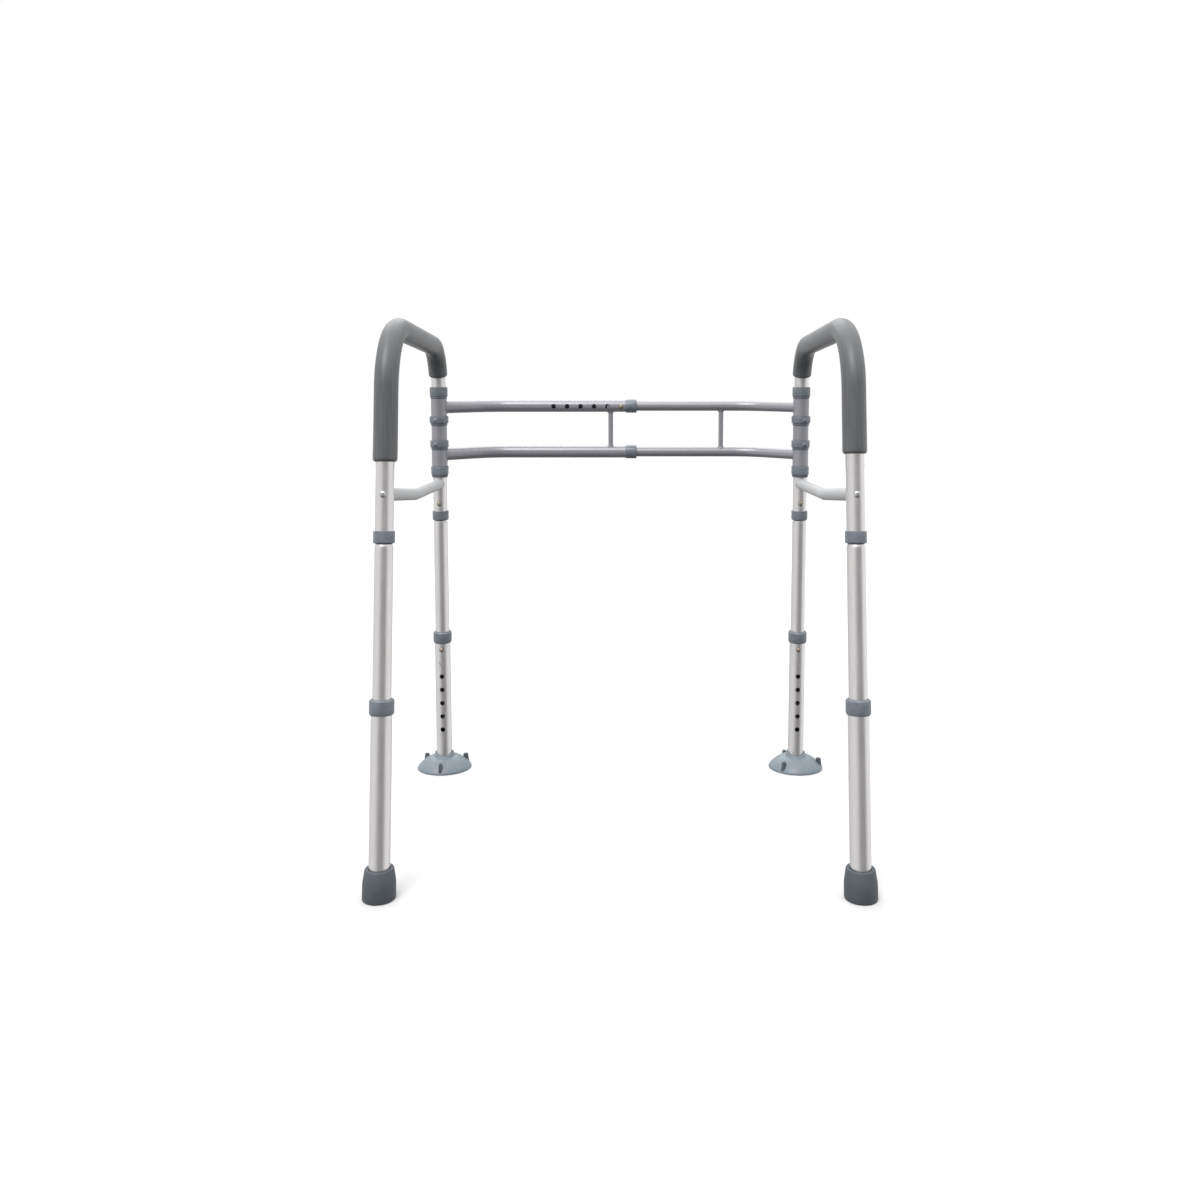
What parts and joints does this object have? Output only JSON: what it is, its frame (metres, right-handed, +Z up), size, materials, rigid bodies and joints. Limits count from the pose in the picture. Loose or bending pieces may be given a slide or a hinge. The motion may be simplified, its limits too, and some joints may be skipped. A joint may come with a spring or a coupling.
{
  "type": "toilet safety frame",
  "caption": "Free-standing toilet support frame with folding side hoops, foam grips, height-adjustable legs, width-adjustable rear rails, rubber tips and suction cups.",
  "frame": {"origin": "on the floor under the middle of the frame's box", "axes": "+Z up; +X across the frame, to the right when seen from in front of the user's knees; the user sits facing -Y and the ladder is at +Y"},
  "size_m": [0.764, 0.6115, 0.8013],
  "materials": {
    "aluminium_tube": "pale satin anodised tube with a fine drawn grain",
    "rail_paint": "mid-grey satin powder coat",
    "brace_paint": "matt silver coated tube",
    "collar_plastic": "blue-grey moulded plastic, satin",
    "foam_grip": "grey closed-cell foam with a smooth matt skin",
    "tip_rubber": "blue-grey moulded rubber",
    "cup_rubber": "pale blue-grey soft vinyl",
    "button_brass": "plated snap button, satin",
    "bolt_steel": "zinc-plated domed screw head"
  },
  "bodies": {
    "outer_ladder": {"outer_ladder": "rail_paint", "upper_rail_bush": "collar_plastic", "lower_rail_bush": "collar_plastic", "left_top_post_collar": "collar_plastic", "left_upper_post_collar": "collar_plastic", "left_lower_post_collar": "collar_plastic", "left_bottom_post_collar": "collar_plastic"},
    "inner_ladder": {"inner_ladder": "rail_paint", "right_top_post_collar": "collar_plastic", "right_upper_post_collar": "collar_plastic", "right_lower_post_collar": "collar_plastic", "right_bottom_post_collar": "collar_plastic"},
    "left_side": {"left_hoop_tube": "aluminium_tube", "left_grip": "foam_grip", "left_brace": "brace_paint", "left_brace_saddle": "collar_plastic", "left_brace_front_bolt": "bolt_steel", "left_brace_rear_bolt": "bolt_steel", "left_post_sleeve": "rail_paint", "left_front_mid_leg": "aluminium_tube", "left_front_upper_collar": "collar_plastic", "left_rear_mid_leg": "aluminium_tube", "left_rear_upper_collar": "collar_plastic"},
    "left_front_lower_leg": {"left_front_lower_leg": "aluminium_tube", "left_front_lower_collar": "collar_plastic", "left_rubber_tip": "tip_rubber"},
    "left_front_height_button": {"left_front_height_button": "button_brass"},
    "left_front_upper_button": {"left_front_upper_button": "button_brass"},
    "left_rear_lower_leg": {"left_rear_lower_leg": "aluminium_tube", "left_rear_lower_collar": "collar_plastic", "left_suction_cup": "cup_rubber"},
    "left_rear_height_button": {"left_rear_height_button": "button_brass"},
    "left_rear_upper_button": {"left_rear_upper_button": "button_brass"},
    "right_side": {"right_hoop_tube": "aluminium_tube", "right_grip": "foam_grip", "right_brace": "brace_paint", "right_brace_saddle": "collar_plastic", "right_brace_front_bolt": "bolt_steel", "right_brace_rear_bolt": "bolt_steel", "right_post_sleeve": "rail_paint", "right_front_mid_leg": "aluminium_tube", "right_front_upper_collar": "collar_plastic", "right_rear_mid_leg": "aluminium_tube", "right_rear_upper_collar": "collar_plastic"},
    "right_front_lower_leg": {"right_front_lower_leg": "aluminium_tube", "right_front_lower_collar": "collar_plastic", "right_rubber_tip": "tip_rubber"},
    "right_front_height_button": {"right_front_height_button": "button_brass"},
    "right_front_upper_button": {"right_front_upper_button": "button_brass"},
    "right_rear_lower_leg": {"right_rear_lower_leg": "aluminium_tube", "right_rear_lower_collar": "collar_plastic", "right_suction_cup": "cup_rubber"},
    "right_rear_height_button": {"right_rear_height_button": "button_brass"},
    "right_rear_upper_button": {"right_rear_upper_button": "button_brass"},
    "rail_button": {"rail_button": "button_brass"}
  },
  "joints": [
    {"name": "width_slide", "type": "slide", "parent": "outer_ladder", "child": "inner_ladder", "axis": [1, 0, 0], "range_m": [-0.127, 0], "deforming": ["rail_button"]},
    {"name": "left_fold", "type": "hinge", "parent": "outer_ladder", "child": "left_side", "pos_m": [-0.332, 0.2557, 0], "axis": [0, -0.0872, 0.9962], "range_deg": [0, 90]},
    {"name": "left_front_height", "type": "slide", "parent": "left_side", "child": "left_front_lower_leg", "axis": [-0.0027, 0.0697, 0.9976], "range_m": [0, 0.1524]},
    {"name": "left_front_height_button_press", "type": "slide", "parent": "left_side", "child": "left_front_height_button", "axis": [0.0172, -0.9974, 0.0698], "range_m": [0, 0.004], "stiffness_N_per_m": 1500, "springref_m": -0.002},
    {"name": "left_front_upper_button_press", "type": "slide", "parent": "left_side", "child": "left_front_upper_button", "axis": [0.0172, -0.9974, 0.0698], "range_m": [0, 0.004], "stiffness_N_per_m": 1500, "springref_m": -0.002},
    {"name": "left_rear_height", "type": "slide", "parent": "left_side", "child": "left_rear_lower_leg", "axis": [0, -0.0872, 0.9962], "range_m": [0, 0.1524]},
    {"name": "left_rear_height_button_press", "type": "slide", "parent": "left_side", "child": "left_rear_height_button", "axis": [-0.0175, 0.996, 0.0871], "range_m": [0, 0.004], "stiffness_N_per_m": 1500, "springref_m": -0.002},
    {"name": "left_rear_upper_button_press", "type": "slide", "parent": "left_side", "child": "left_rear_upper_button", "axis": [-0.0175, 0.996, 0.0871], "range_m": [0, 0.004], "stiffness_N_per_m": 1500, "springref_m": -0.002},
    {"name": "right_fold", "type": "hinge", "parent": "inner_ladder", "child": "right_side", "pos_m": [0.332, 0.2557, 0], "axis": [0, 0.0872, -0.9962], "range_deg": [0, 80]},
    {"name": "right_front_height", "type": "slide", "parent": "right_side", "child": "right_front_lower_leg", "axis": [0.0027, 0.0697, 0.9976], "range_m": [0, 0.1524]},
    {"name": "right_front_height_button_press", "type": "slide", "parent": "right_side", "child": "right_front_height_button", "axis": [-0.0172, -0.9974, 0.0698], "range_m": [0, 0.004], "stiffness_N_per_m": 1500, "springref_m": -0.002},
    {"name": "right_front_upper_button_press", "type": "slide", "parent": "right_side", "child": "right_front_upper_button", "axis": [-0.0172, -0.9974, 0.0698], "range_m": [0, 0.004], "stiffness_N_per_m": 1500, "springref_m": -0.002},
    {"name": "right_rear_height", "type": "slide", "parent": "right_side", "child": "right_rear_lower_leg", "axis": [0, -0.0872, 0.9962], "range_m": [0, 0.1524]},
    {"name": "right_rear_height_button_press", "type": "slide", "parent": "right_side", "child": "right_rear_height_button", "axis": [0.0175, 0.996, 0.0871], "range_m": [0, 0.004], "stiffness_N_per_m": 1500, "springref_m": -0.002},
    {"name": "right_rear_upper_button_press", "type": "slide", "parent": "right_side", "child": "right_rear_upper_button", "axis": [0.0175, 0.996, 0.0871], "range_m": [0, 0.004], "stiffness_N_per_m": 1500, "springref_m": -0.002},
    {"name": "rail_button_press", "type": "slide", "parent": "inner_ladder", "child": "rail_button", "axis": [0, 0.9962, 0.0872], "range_m": [0, 0.0034], "stiffness_N_per_m": 1500, "springref_m": -0.002}
  ]
}
